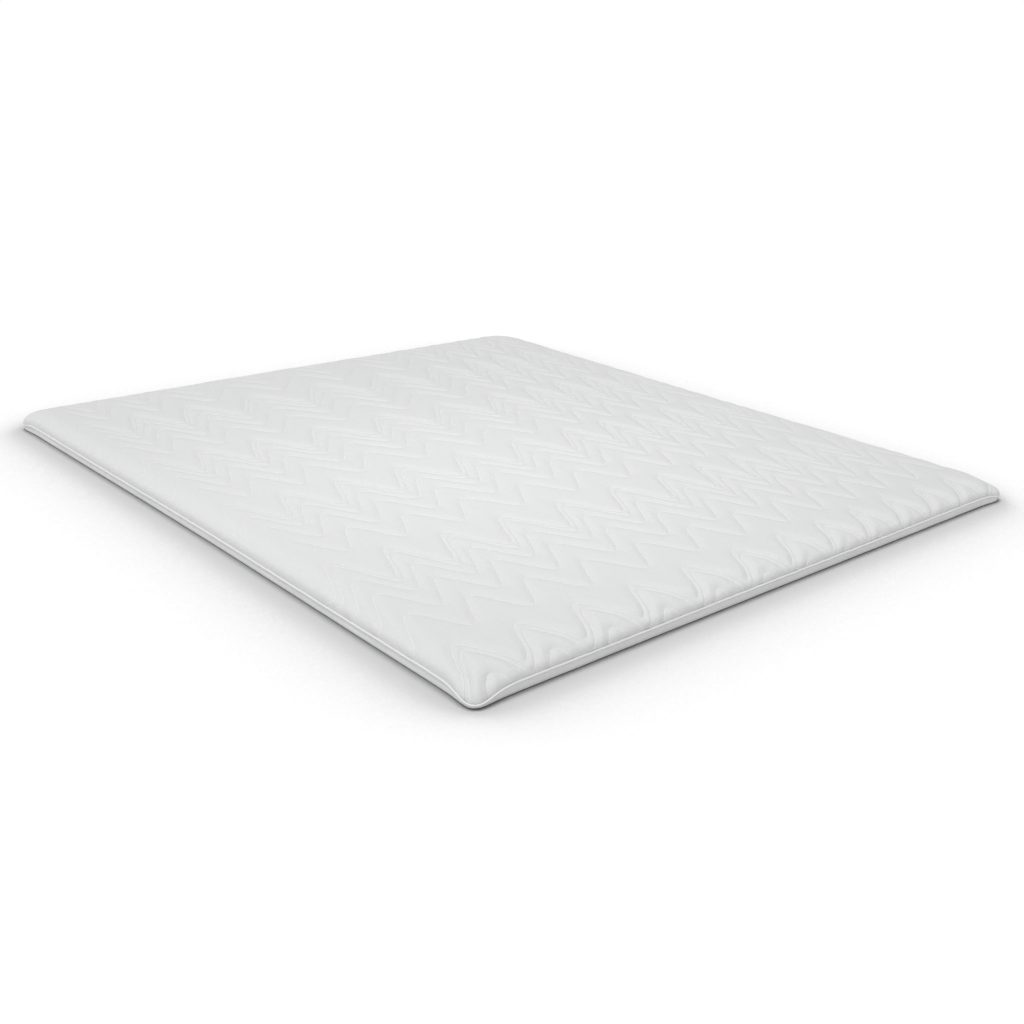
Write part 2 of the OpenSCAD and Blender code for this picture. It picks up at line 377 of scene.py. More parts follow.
def settle(points, shape):
    """How the whole mattress gives: corners are squared, sides pull in half way along, corners flare
    out and lose height, and the top has slow waves. All the cloth and foam passes through here, so it
    fits together."""
    x, y, z = points[..., 0], points[..., 1], points[..., 2]
    x, y = square_corners(x, y, shape)
    left, right, foot = shape.side_pull
    half_x, half_y = WALL
    across = np.clip(x / half_x, -1, 1)
    along = np.clip(y / half_y, -1, 1)
    pull_x = np.where(x < 0, left, right) * np.cos(along * np.pi / 2) ** 2
    pull_y = np.where(y < 0, foot, 0.0) * np.cos(across * np.pi / 2) ** 2
    squash, flare_x, flare_y = np.zeros_like(z), 0, 0
    upward = smooth((z - SEAM_Z) / (TOP_Z - SEAM_Z))
    tip = middles(shape) + shape.corner_radius * TIP_SHARE
    foot_left, foot_right, head = shape.corner_squash
    corners = ((-1, -1, foot_left), (1, -1, foot_right), (-1, 1, head), (1, 1, head))
    for (sx, sy, share), droop in zip(corners, shape.corner_droop):
        away = np.hypot(x - sx * tip[0], y - sy * tip[1]) / shape.squash_reach
        near = np.exp(-(away**2))
        squash = squash + share * near * (1 - (1 - droop) * upward)
        flare = near * shape.corner_flare * (FLARE_LOW + FLARE_GAIN * upward) * math.sqrt(0.5)
        flare_x, flare_y = flare_x + sx * flare, flare_y + sy * flare
    slow = sum(np.sin(a * x + b * y + start) for a, b, start in SLOW_WAVES)
    high = np.clip(z / TOP_Z, 0, 1)
    waves = shape.top_waves * (slow / 3 - 1) * high**2
    x, y = x - across * pull_x + flare_x, y - along * pull_y + flare_y
    return np.stack([x, y, z * (1 - squash) + waves], axis=-1)


def wrap(x, y, section, shape, depth=0.0):
    """Lays flat cloth over the form. Inside the corners' middles a point keeps its place in plan; past
    them its distance out is a length along the section."""
    cx, cy = middles(shape)
    out_x, out_y = past_middles(x, y, shape)
    run = np.hypot(out_x, out_y)
    r, z = section.at(run, depth)
    share = r / np.maximum(run, 1e-9)
    plan_x = np.sign(x) * (np.minimum(np.abs(x), cx) + out_x * share)
    plan_y = np.sign(y) * (np.minimum(np.abs(y), cy) + out_y * share)
    return settle(np.stack([plan_x, plan_y, z], axis=-1), shape)


def unit(vectors):
    """The same directions at length 1."""
    return vectors / np.maximum(np.linalg.norm(vectors, axis=-1, keepdims=True), 1e-12)


def grid_normals(points):
    """Unit normals of a grid of points, from the cross product of its two directions."""
    return unit(np.cross(np.gradient(points, axis=0), np.gradient(points, axis=1)))


def length_along(points):
    """Length of a line of points from its first point to each point."""
    return np.concatenate([[0.0], np.cumsum(np.linalg.norm(np.diff(points, axis=0), axis=1))])


def points_at(marks, run, points):
    """Points of a line at the marks, where run is the line's own length at its points."""
    return np.stack([np.interp(marks, run, points[:, k]) for k in range(3)], axis=1)


# ---------------------------------------------------------------- the quilting


# How gently the teeth change their pitch, in teeth
SOFT = 0.35


def soft_ramp(a):
    """0 below zero and a above it, with a smooth turn."""
    return SOFT * np.logaddexp(0, a / SOFT)


def soft_step(a):
    """The slope of the soft ramp: 0 below zero and 1 above it."""
    return 0.5 + 0.5 * np.tanh(a / (2 * SOFT))


def smooth(a):
    """0 below 0, 1 above 1, and a smooth rise between."""
    a = np.clip(a, 0, 1)
    return a * a * (3 - 2 * a)


def ramp(a, span):
    """A smooth rise of a from 0 to 1 over a span, which is its start and its length."""
    return smooth((a - span[0]) / span[1])


# Rows nearer the foot end than FOOT_ROWS step to the left, by FOOT_LEAN for each metre
FOOT_LEAN = 0.04
FOOT_ROWS = -0.53
# Place of tooth 0 and width of the teeth at the left, and the teeth between which the middle pitch holds
LEFT_TOOTH = -0.3675
LEFT_PITCH = 0.150
MIDDLE_TEETH = (-0.7, 3.0)
# Width of the middle and right teeth in the first row, and how it changes for each metre along
MIDDLE_PITCH, MIDDLE_GROWTH = 0.1625, 0.045
RIGHT_PITCH, RIGHT_GROWTH = 0.13265, -0.01
FIRST_ROW = -0.865
# Least width of a tooth while Newton's steps look for its number
SMALLEST_PACE = 0.05
# How sharp the zigzag's tips are, from 0 for a plain wave to 1 for a point
KEEN = 0.72
# The rising side's share of a tooth at the left, and its gains over two spans towards the right
RISE_SHARE, RISE_GAINS = 0.5, ((0.1, (-0.3, 0.4)), (0.05, (0.4, 0.4)))


def tooth_pitches(y):
    """Width of the teeth in the middle and at the right: the middle ones widen towards the head."""
    ahead = y - FIRST_ROW
    return MIDDLE_PITCH + MIDDLE_GROWTH * ahead, RIGHT_PITCH + RIGHT_GROWTH * ahead


def tooth_number(x, y):
    """The tooth that a place belongs to, whole at peaks. The place of tooth n is a left pitch times n,
    plus soft ramps that change the pitch in the middle and at the right; Newton's steps invert it. The
    teeth step a little to the left, row by row, towards the foot end."""
    middle, right = tooth_pitches(y)
    first, last = MIDDLE_TEETH
    x = x + FOOT_LEAN * np.maximum(FOOT_ROWS - y, 0)
    n = (x - LEFT_TOOTH) / LEFT_PITCH
    for _ in range(8):
        place = (
            LEFT_TOOTH + LEFT_PITCH * n + (middle - LEFT_PITCH) * soft_ramp(n - first)
            + (right - middle) * soft_ramp(n - last)
        )
        pace = (
            LEFT_PITCH + (middle - LEFT_PITCH) * soft_step(n - first)
            + (right - middle) * soft_step(n - last)
        )
        n = n - (place - x) / np.maximum(pace, SMALLEST_PACE)
    return n


def zigzag(x, y):
    """Height of the zigzag from -1 in a trough to 1 at a peak: a triangle wave whose rising side grows
    longer towards the right, with its tips rounded by an arcsine."""
    n = tooth_number(x, y)
    rise = sum((gain * ramp(x, span) for gain, span in RISE_GAINS), RISE_SHARE)
    part = n - np.floor(n)
    fall = 1 - rise
    wave = np.where(part < fall, 1 - 2 * part / fall, 2 * (part - fall) / rise - 1)
    return np.arcsin(KEEN * np.sin(np.pi / 2 * wave)) / math.asin(KEEN)


# Where the rows of a band lie, as shares of the band: a double row and then three single ones
BAND_ROWS = (0.0, 0.335, 0.575, 0.76)
BANDS = range(-1, 6)
# The place across at which a tilted row has its stated height
LEVEL_X = -0.67


def sewn_lines(quilt):
    """Every sewn line, foot to head: (height of its peaks along Y, tooth height, is it double)."""
    lines = []
    for band in BANDS:
        for row, share in enumerate(BAND_ROWS):
            b = band + share
            peak = quilt.first_row + quilt.band_pitch * b - quilt.band_shrink * b * b
            if row:
                lines.append((peak, quilt.single_tooth, False))
            else:
                tooth = quilt.double_tooth if band else quilt.foot_tooth
                lines.append((peak, tooth, True))
                lines.append((peak - quilt.double_gap, tooth, True))
    return sorted(lines)


def line_y(x, line, quilt):
    """Y of a sewn line at x: its peaks' height, its tilt, and the zigzag below them."""
    peak, tooth, _ = line
    return peak - quilt.row_tilt * (x - LEVEL_X) - tooth / 2 * (1 - zigzag(x, peak - tooth / 2))


# Past this distance a sewn line no longer shapes the cloth
LINE_REACH = 0.06


def nearest_line(x, y, quilt):
    """Distance of each place from the nearest sewn line, square to the line."""
    best = np.full(x.shape, 1.0)
    step = 0.5 * MM
    for line in sewn_lines(quilt):
        peak, tooth, _ = line
        near = np.abs(y - peak + tooth / 2) < tooth / 2 + LINE_REACH
        if not near.any():
            continue
        xs = x[near]
        here = line_y(xs, line, quilt)
        slope = (line_y(xs + step, line, quilt) - here) / step
        away = np.abs(y[near] - here) / np.sqrt(1 + slope**2)
        best[near] = np.minimum(best[near], away)
    return best


def edge_room(x, y, shape, section):
    """Length of cloth left between a place and the seam."""
    cx, cy = middles(shape)
    out = np.hypot(*past_middles(x, y, shape))
    inside = np.where(out > 0, 0, np.minimum(cx - np.abs(x), cy - np.abs(y)))
    return section.run[-1] - out + inside


# How much the quilting deepens on the roll at the foot end and on the left roll near that end, and how
# much it fades on the other rolls and at the left
FOOT_DEEPER, CORNER_DEEPER, ROLL_FAINTER, LEFT_FAINTER = 0.5, 1.1, 0.6, 0.35
# Spans of the cloth's distance from the seam: of the rolled part, of the roll's fading, of the sewing's
# pull and of the belly
ROLLED, FADING, PULL, BELLY = (0.0, 0.16), (0.03, 0.22), (0.004, 0.035), (0.012, 0.022)
# Spans of the distance from the middle: to the foot end's roll, to the left, and to the foot end's half
AT_FOOT, AT_LEFT, NEAR_FOOT = (0.80, 0.12), (0.78, 0.10), (0.35, 0.30)
# The sewing's pull at the seam and what it gains away from it, and the least depth of the quilting
PULL_AT_SEAM, PULL_GAIN, LEAST_DEPTH = 0.3, 0.7, 0.1
# Share of the simulated puff in the middle of the panel, where the rest is the plain profile, how far
# that part stays from the sides and the ends, the length over which it fades, and its puff's width
SIMULATED, SIDES_LEFT_OUT, ENDS_LEFT_OUT, BLEND_OVER, SIMULATED_WIDTH = 0.5, 0.10, 0.16, 0.06, 0.7


def relief(x, y, shape, quilt, section, swell=None):
    """Height of the quilted face above its form: a narrow groove along each sewn line inside a wider
    valley, deeper where the panel rolls over the foot end and over the left side near it, fainter
    elsewhere at the edges, and a belly above the seam. The swell says how full the simulated puff is at
    each place; without it the puff rises by 1 - exp(-(distance / puff width)^2) from each line."""
    away = nearest_line(x, y, quilt)
    groove = quilt.groove_depth * np.exp(-((away / quilt.groove_width) ** 2))
    rise = 1 - np.exp(-((away / quilt.puff_width) ** 2))
    if swell is not None:
        swollen = swell * (1 - np.exp(-((away / (SIMULATED_WIDTH * quilt.puff_width)) ** 2)))
        middle = (
            smooth((WALL[0] - SIDES_LEFT_OUT - np.abs(x)) / BLEND_OVER)
            * smooth((WALL[1] - ENDS_LEFT_OUT - np.abs(y)) / BLEND_OVER)
        )
        rise = rise + SIMULATED * middle * (swollen - rise)
    valley = quilt.puff_depth * (1 - rise)
    room = edge_room(x, y, shape, section)
    rolled, faded = 1 - ramp(room, ROLLED), 1 - ramp(room, FADING)
    foot, left, near = ramp(-y, AT_FOOT), ramp(-x, AT_LEFT), ramp(-y, NEAR_FOOT)
    strength = 1 + FOOT_DEEPER * foot * rolled - ROLL_FAINTER * (1 - foot) * faded
    strength = strength + left * (CORNER_DEEPER * near * rolled - LEFT_FAINTER * (1 - near))
    strength = np.maximum(strength, LEAST_DEPTH)
    strength = strength * (PULL_AT_SEAM + PULL_GAIN * ramp(room, PULL))
    belly = shape.belly * (1 - ramp(room, BELLY))
    return belly - (groove + valley) * strength - seam_creases(x, y, room)


def along_edge(x, y):
    """Place along the nearest side of the mattress."""
    return np.where(np.abs(x) / WALL[0] > np.abs(y) / WALL[1], y, x)


def seam_creases(x, y, room):
    """Small creases square to the seam, fading within a few centimetres of it: the absolute value of a
    sum of sines along the edge."""
    along = along_edge(x, y)
    ripple = np.sin(61 * along + 0.7) + np.sin(97 * along + 2.1) + np.sin(151 * along)
    return 0.0003 * (1 + ripple / 3) * np.exp(-((room / 0.022) ** 2))


def carry(fine, coarse):
    """Weights that carry values from coarse grid lines to fine ones: each fine line takes a cubic blend
    of the four coarse lines round it."""
    last = len(coarse) - 1
    i = np.clip(np.searchsorted(coarse, fine, side="right") - 1, 0, last - 1)
    u = (fine - coarse[i]) / (coarse[i + 1] - coarse[i])
    blend = (
        -u / 2 + u**2 - u**3 / 2, 1 - 2.5 * u**2 + 1.5 * u**3,
        u / 2 + 2 * u**2 - 1.5 * u**3, (u**3 - u**2) / 2,
    )
    weights = np.zeros((len(fine), len(coarse)))
    for k, share in enumerate(blend):
        np.add.at(weights, (np.arange(len(fine)), np.clip(i + k - 1, 0, last)), share)
    return weights


# The knit in the simulation: its stiffness along, across and in bending, and the solver's steps a frame
KNIT_STIFFNESS, KNIT_SHEAR, KNIT_BENDING, KNIT_STEPS = 12, 4, 0.3, 4


def swell_by_cloth(shape, quilt, section):
    """How full the puff is between the sewn rows, from 0 to 1, on a coarse grid of the panel: a cloth
    simulation with the seam and the rows held, gravity off, and the wadding pressing outwards. The
    height reached, h, becomes 1 - exp(-h / swell limit), which keeps the points from going too far."""
    cx, cy = middles(shape)
    reach = section.run[-1]
    across = lines_between([-cx - reach, -cx, cx, cx + reach], quilt.cloth_grid)
    centres = [peak - tooth / 2 for peak, tooth, _ in sewn_lines(quilt)]
    centres = [c for c in centres if abs(c) < cy + reach - 3 * quilt.cloth_grid]
    along = lines_between([-cy - reach, *centres, cy + reach], quilt.cloth_grid)
    s, t = np.meshgrid(across, along, indexing="ij")
    x, y = gather(s, follow_rows(s, t, shape, quilt), shape)
    still = wrap(x, y, section, shape)
    held = (nearest_line(x, y, quilt) < 0.4 * quilt.cloth_grid) | (edge_room(x, y, shape, section) < 4 * MM)
    mesh = build_mesh("swelling", still.reshape(-1, 3), [grid_faces(*s.shape)])
    cloth = bpy.data.objects.new("swelling", mesh)
    bpy.context.collection.objects.link(cloth)
    cloth.vertex_groups.new(name="sewn").add(np.flatnonzero(held).tolist(), 1.0, "REPLACE")
    press = cloth.modifiers.new("wadding", "CLOTH")
    press.point_cache.frame_start, press.point_cache.frame_end = 1, quilt.cloth_frames
    knit = press.settings
    knit.vertex_group_mass = "sewn"
    knit.effector_weights.gravity = 0
    knit.quality = KNIT_STEPS
    knit.tension_stiffness = knit.compression_stiffness = KNIT_STIFFNESS
    knit.shear_stiffness = KNIT_SHEAR
    knit.bending_stiffness = KNIT_BENDING
    knit.shrink_min = -quilt.cloth_slack
    knit.use_pressure = True
    knit.uniform_pressure_force = quilt.cloth_pressure
    press.collision_settings.use_collision = False
    for step in range(1, quilt.cloth_frames + 1):
        bpy.context.scene.frame_set(step)
    moved = np.empty(still.size)
    cloth.evaluated_get(bpy.context.evaluated_depsgraph_get()).data.vertices.foreach_get("co", moved)
    rise = ((moved.reshape(still.shape) - still) * grid_normals(still)).sum(axis=-1)
    bpy.data.objects.remove(cloth)
    bpy.data.meshes.remove(mesh)
    bpy.context.scene.frame_set(1)
    return across, along, 1 - np.exp(-np.maximum(rise, 0) / quilt.swell_limit)


# ---------------------------------------------------------------- making meshes


def build_mesh(name, points, faces, uv=None):
    """A smooth mesh from an (n, 3) array of points and a list of (m, k) arrays of corner numbers."""
    mesh = bpy.data.meshes.new(name)
    mesh.vertices.add(len(points))
    mesh.vertices.foreach_set("co", np.ascontiguousarray(points, np.float32).ravel())
    corners = np.concatenate([f.ravel() for f in faces]).astype(np.int32)
    sizes = np.concatenate([np.full(len(f), f.shape[1]) for f in faces])
    starts = np.concatenate([[0], np.cumsum(sizes)[:-1]]).astype(np.int32)
    mesh.loops.add(len(corners))
    mesh.loops.foreach_set("vertex_index", corners)
    mesh.polygons.add(len(sizes))
    mesh.polygons.foreach_set("loop_start", starts)
    mesh.update(calc_edges=True)
    mesh.polygons.foreach_set("use_smooth", np.ones(len(sizes), bool))
    if uv is not None:
        layer = mesh.uv_layers.new(name="cloth")
        layer.data.foreach_set("uv", np.ascontiguousarray(uv[corners], np.float32).ravel())
    mesh.validate()
    return mesh


def add_object(name, mesh, material, body, node_names=()):
    """Puts a mesh in the scene on a body, with its material, in place of the CAD nodes named."""
    obj = bpy.data.objects.new(name, mesh)
    bpy.context.collection.objects.link(obj)
    mesh.materials.append(material)
    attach(obj, body)
    if node_names:
        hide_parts(*node_names)
    return obj


def thicken(obj, name, thickness, offset):
    """Gives a sheet its thickness: an offset of -1 is all inwards, and 0 is half to each side."""
    wall = obj.modifiers.new(name, "SOLIDIFY")
    wall.thickness = thickness
    wall.offset = offset


def grid_faces(rows, columns, first=0, close_rows=False, close_columns=False):
    """Quads of a grid of points numbered row by row; a closed direction joins its last to its first."""
    i = np.arange(rows if close_rows else rows - 1)
    j = np.arange(columns if close_columns else columns - 1)
    i, j = np.meshgrid(i, j, indexing="ij")
    i2, j2 = (i + 1) % rows, (j + 1) % columns
    quad = np.stack([i * columns + j, i2 * columns + j, i2 * columns + j2, i * columns + j2], axis=-1)
    return quad.reshape(-1, 4) + first


def rim(rows, columns, first=0):
    """Numbers of a grid's outer points, in order round it."""
    index = np.arange(rows * columns).reshape(rows, columns) + first
    return np.concatenate([index[:-1, 0], index[-1, :-1], index[:0:-1, -1], index[0, :0:-1]])


def lines_between(stops, spacing, multiple=1):
    """Values from the first stop to the last, through every stop, at most spacing apart."""
    out = [np.array([stops[0]])]
    for a, b in zip(stops[:-1], stops[1:]):
        count = max(1, math.ceil((b - a) / spacing / multiple)) * multiple
        out.append(np.linspace(a, b, count + 1)[1:])
    return np.concatenate(out)


# ---------------------------------------------------------------- operators: the cover


# Half the length in which the top panel's grid is closer at the sewn rows; past it the grid is even
ROWED_HALF = 0.86
# Spacing of that grid's lines: across, between the rows, at the two ends, and the least of all
GRID_ACROSS, GRID_BETWEEN_ROWS, GRID_AT_ENDS, LEAST_GAP = 2.9 * MM, 8.5 * MM, 2.7 * MM, 1.4 * MM
# Distances of the grid lines to each side of a row, in millimetres
BESIDE_ROWS = (0, 2.4, 4.8, 7.6, 11.5, 17)


def panel_lines(shape, quilt, section, coarse):
    """Grid lines of the top panel: even across; along, closer at each sewn line and at the two ends.
    Their number is a multiple of coarse, plus one."""
    cx, cy = middles(shape)
    reach = section.run[-1]
    across = lines_between([-cx - reach, -cx, cx, cx + reach], GRID_ACROSS, coarse)
    near = np.array(BESIDE_ROWS) * MM
    near = np.concatenate([-near[:0:-1], near])
    centres = [peak - tooth / 2 for peak, tooth, _ in sewn_lines(quilt)]
    stops = np.concatenate([c + near for c in centres])
    stops = np.sort(np.concatenate([stops[np.abs(stops) < ROWED_HALF], [-ROWED_HALF, ROWED_HALF]]))
    keep = np.concatenate([[True], np.diff(stops) > LEAST_GAP])
    middle = lines_between(stops[keep], GRID_BETWEEN_ROWS)
    ends = lines_between([ROWED_HALF, cy + reach], GRID_AT_ENDS)[1:]
    along = np.concatenate([-ends[::-1], middle, ends])
    spare = (len(along) - 1) % coarse
    if spare:
        extra = coarse - spare
        gaps = np.argsort(np.diff(along))[-extra:]
        along = np.sort(np.concatenate([along, (along[gaps] + along[gaps + 1]) / 2]))
    return across, along


def tooth_height(y, quilt):
    """Tooth height at a row's middle line, blended between the rows."""
    lines = sewn_lines(quilt)
    middles_y = np.array([peak - tooth / 2 for peak, tooth, _ in lines])
    return np.interp(y, middles_y, np.array([tooth for _, tooth, _ in lines]))


def follow_rows(s, t, shape, quilt):
    """Bends the grid lines that run across so that they follow the zigzag, away from the edges."""
    inside = smooth((WALL[0] - 0.01 - np.abs(s)) / 0.09) * smooth((WALL[1] - 0.005 - np.abs(t)) / 0.13)
    bend = tooth_height(t, quilt) / 2 * zigzag(s, t) - quilt.row_tilt * (s - LEVEL_X)
    return t + inside * bend


class MATTRESS_OT_top_panel(bpy.types.Operator):
    """Makes the quilted top panel: a knit face with sewn grooves over a smooth backing, closed at the seam"""

    bl_idname = "mattress.top_panel"
    bl_label = "Quilted top panel"

    def execute(self, context):
        shape, quilt, colours, _ = settings()
        section = top_section(shape)
        coarse = 8
        across, along = panel_lines(shape, quilt, section, coarse)
        s, t = np.meshgrid(across, along, indexing="ij")
        x, y = gather(s, follow_rows(s, t, shape, quilt), shape)
        face = wrap(x, y, section, shape)
        swell = None
        coarse_across, coarse_along, swell = swell_by_cloth(shape, quilt, section)
        swell = carry(across, coarse_across) @ swell @ carry(along, coarse_along).T
        face = face + grid_normals(face) * relief(x, y, shape, quilt, section, swell)[..., None]
        xb, yb = x[::coarse, ::coarse], y[::coarse, ::coarse]
        thick = KNIT_HIGH.z - CORE_HIGH.z - 2 * MM
        back = wrap(xb, yb, section, shape, depth=thick)
        rows, columns = s.shape
        back_rows, back_columns = xb.shape
        first = rows * columns
        outer, inner = rim(rows, columns), rim(back_rows, back_columns, first)
        pick = np.arange(0, len(outer), coarse)[:, None] + np.arange(coarse + 1)[None]
        edge = np.concatenate(
            [outer[pick % len(outer)][:, ::-1], inner[:, None], np.roll(inner, -1)[:, None]], axis=1
        )
        points = np.concatenate([face.reshape(-1, 3), back.reshape(-1, 3)])
        uv = np.concatenate([np.stack([x, y], -1).reshape(-1, 2), np.stack([xb, yb], -1).reshape(-1, 2)])
        faces = [
            grid_faces(rows, columns),
            grid_faces(back_rows, back_columns, first)[:, ::-1],
            edge,
        ]
        mesh = build_mesh("quilted_top", points, faces, uv)
        obj = add_object(
            "quilted_top", mesh, knit_material("quilted_knit", colours.knit), "mattress",
            ("panel_knit", "panel_wadding", "panel_backing"),
        )
        return {"FINISHED"}


# Radius of the quilting's stitches, and how far their middles stand above the bottom of the groove
THREAD_RADIUS, THREAD_LIFT = 0.55 * MM, 0.3 * MM


def spindles(middle, direction, up, length, radius):
    """Many small spindles, one for each stitch: two rings of four points and a point at each end."""
    side = unit(np.cross(direction, up))
    up = np.cross(side, direction)
    rings = []
    for share in (-0.25, 0.25):
        for a in (0, 1, 2, 3):
            turn = a * np.pi / 2
            rings.append(
                middle + direction * (length * share)[:, None]
                + (side * math.cos(turn) + up * math.sin(turn)) * radius
            )
    ends = [middle + direction * (length * share)[:, None] - up * radius * 0.8 for share in (-0.5, 0.5)]
    points = np.stack(rings + ends, axis=1)
    sides = np.array([[a, (a + 1) % 4, 4 + (a + 1) % 4, 4 + a] for a in range(4)])
    caps = np.array([[8, (a + 1) % 4, a] for a in range(4)] + [[9, 4 + a, 4 + (a + 1) % 4] for a in range(4)])
    start = np.arange(len(middle))[:, None, None] * 10
    return points.reshape(-1, 3), [(start + sides).reshape(-1, 4), (start + caps).reshape(-1, 3)]


def along_line(points, pitch):
    """Stitches along a line of points: middles, directions and lengths, pitch apart."""
    run = length_along(points)
    count = max(1, int(run[-1] / pitch))
    at = points_at(np.linspace(0, run[-1], count + 1), run, points)
    step = np.diff(at, axis=0)
    size = np.linalg.norm(step, axis=1)
    return (at[:-1] + at[1:]) / 2, step / np.maximum(size, 1e-9)[:, None], size * 0.9


def sew(name, stitches, radius, material, node):
    """One piece of sewing, from the middles, directions, upward sides and lengths of its stitches."""
    points, faces = spindles(*stitches, radius)
    add_object(name, build_mesh(name, points, faces), material, "mattress", (node,))


class MATTRESS_OT_quilting_thread(bpy.types.Operator):
    """Sews the quilting: one small spindle for each stitch, lying in the bottom of its groove"""

    bl_idname = "mattress.quilting_thread"
    bl_label = "Quilting thread"

    def execute(self, context):
        shape, quilt, colours, _ = settings()
        section = top_section(shape)
        reach = section.run[-1] - 2 * MM
        half = middles(shape)[0] + reach
        x = np.arange(-half, half, 1.5 * MM)
        step = 0.5 * MM
        sets = {False: [], True: []}
        for line in sewn_lines(quilt):
            y = line_y(x, line, quilt)
            inside = np.hypot(*past_middles(x, y, shape)) < reach
            cuts = np.flatnonzero(np.diff(inside.astype(int))) + 1
            for part in np.split(np.arange(len(x)), cuts):
                if len(part) < 4 or not inside[part[0]]:
                    continue
                here = wrap(x[part], y[part], section, shape)
                near_x = wrap(x[part] + step, y[part], section, shape) - here
                near_y = wrap(x[part], y[part] + step, section, shape) - here
                up = unit(np.cross(near_x, near_y))
                deep = relief(x[part], y[part], shape, quilt, section)
                here = here + up * (deep + THREAD_LIFT)[:, None]
                middle, direction, length = along_line(here, quilt.stitch)
                run = np.linspace(0, 1, len(here))
                marks = (np.arange(len(middle)) + 0.5) / len(middle)
                sets[line[2]].append((middle, direction, points_at(marks, run, up), length))
        # painted highlight: the thread's light colour also stands in for the bright ridges along the sewn
        # grooves
        material = thread_material("quilting_thread", colours.thread)
        pieces = ((False, "single_row_thread", "single_rows"), (True, "double_row_thread", "double_rows"))
        for double, name, node in pieces:
            stitches = [np.concatenate(parts) for parts in zip(*sets[double])]
            sew(name, stitches, THREAD_RADIUS, material, node)
        return {"FINISHED"}


# The piping's height as a share of its width, and its filler's radius as a share of its own
PIPE_TALL, FILLER_SHARE = 1.2, 0.66


def round_path(out, spacing, shape):
    """A closed path round the mattress in plan, a distance out from the wall: points, outward
    directions and length along it. Four straight sides joined by four quarter circles."""
    cx, cy = middles(shape)
    radius = shape.corner_radius + out
    points, outward = [], []
    for k, (sx, sy) in enumerate(((1, 1), (-1, 1), (-1, -1), (1, -1))):
        a = np.linspace(0, np.pi / 2, max(6, math.ceil(radius * np.pi / 2 / (spacing / 2))) + 1)[:-1]
        a = a + k * np.pi / 2
        way = np.stack([np.cos(a), np.sin(a)], axis=1)
        points.append(np.array([sx * cx, sy * cy]) + radius * way)
        outward.append(way)
        end = (k + 1) * np.pi / 2
        way = np.array([math.cos(end), math.sin(end)])
        start = np.array([sx * cx, sy * cy]) + radius * way
        nx, ny = ((-1, 1), (-1, -1), (1, -1), (1, 1))[k]
        stop = np.array([nx * cx, ny * cy]) + radius * way
        count = math.ceil(np.linalg.norm(stop - start) / spacing)
        share = np.linspace(0, 1, count + 1)[:-1, None]
        points.append(start + (stop - start) * share)
        outward.append(np.repeat(way[None], count, axis=0))
    points, outward = np.concatenate(points), np.concatenate(outward)
    ahead = np.roll(points, -1, axis=0) - points
    run = np.concatenate([[0.0], np.cumsum(np.linalg.norm(ahead, axis=1))])
    return points, outward, run[:-1]


def carried_round(name, profile, spacing, shape, ripple=None):
    """Carries a closed profile of (distance out from the wall, height) round the mattress."""
    points, outward, run = round_path(0.0, spacing, shape)
    out, high = profile[:, 0][None], profile[:, 1][None]
    wave = np.zeros_like(run) if ripple is None else ripple(run)
    high = high + wave[:, None]
    plan = points[:, None] + outward[:, None] * out[..., None]
    solid = settle(np.concatenate([plan, high[..., None]], axis=-1), shape)
    uv = np.stack(np.broadcast_arrays(run[:, None], length_along(profile)[None]), axis=-1)
    faces = grid_faces(*solid.shape[:2], close_rows=True, close_columns=True)
    return build_mesh(name, solid.reshape(-1, 3), [faces], uv.reshape(-1, 2))


class MATTRESS_OT_piping(bpy.types.Operator):
    """Makes the piping all round the seam: its folded cloth, the cord inside and the seam's stitches"""

    bl_idname = "mattress.piping"
    bl_label = "Piping and seam"

    def execute(self, context):
        shape, _, colours, _ = settings()
        a = np.linspace(math.pi - 0.3, -math.pi + 0.3, 20)
        tube = np.stack([PIPE_OUT + PIPE_R * np.cos(a), SEAM_Z + PIPE_TALL * PIPE_R * np.sin(a)], axis=1)
        flange = np.array([[-6.0, -0.2], [-6.0, 0.2]]) * MM + [0.0, SEAM_Z]
        profile = np.concatenate([tube, flange])[::-1]

        def ripple(run):
            return 0.15 * MM * (np.sin(run * 47) + np.sin(run * 83 + 1.3)) + 0.4 * MM * np.sin(run * 7.3)

        mesh = carried_round("piping", profile, 6 * MM, shape, ripple)
        add_object("piping", mesh, woven_material("piping_cloth", colours.piping, 0.9 * MM), "mattress",
                   ("piping_cover",))
        b = np.linspace(0, 2 * math.pi, 11)[:-1]
        radius = PIPE_R * FILLER_SHARE
        cord = np.stack([PIPE_OUT + radius * np.cos(b), SEAM_Z + radius * np.sin(b)], axis=1)
        mesh = carried_round("piping_filler", cord, 12 * MM, shape, ripple)
        add_object("piping_filler", mesh, woven_material("filler_cord", colours.foam, 1.5 * MM), "mattress",
                   ("piping_cord",))
        points, outward, _ = round_path(-3 * MM, 4 * MM, shape)
        line = settle(np.column_stack([points, np.full(len(points), SEAM_Z + 0.6 * MM)]), shape)
        line = np.concatenate([line, line[:1]])
        middle, direction, length = along_line(line, 3.5 * MM)
        up = np.repeat([[0.0, 0.0, 1.0]], len(middle), axis=0)
        sewing = thread_material("sewing_thread", colours.thread)
        sew("seam_stitches", (middle, direction, up, length), 0.18 * MM, sewing, "seam_thread")
        return {"FINISHED"}


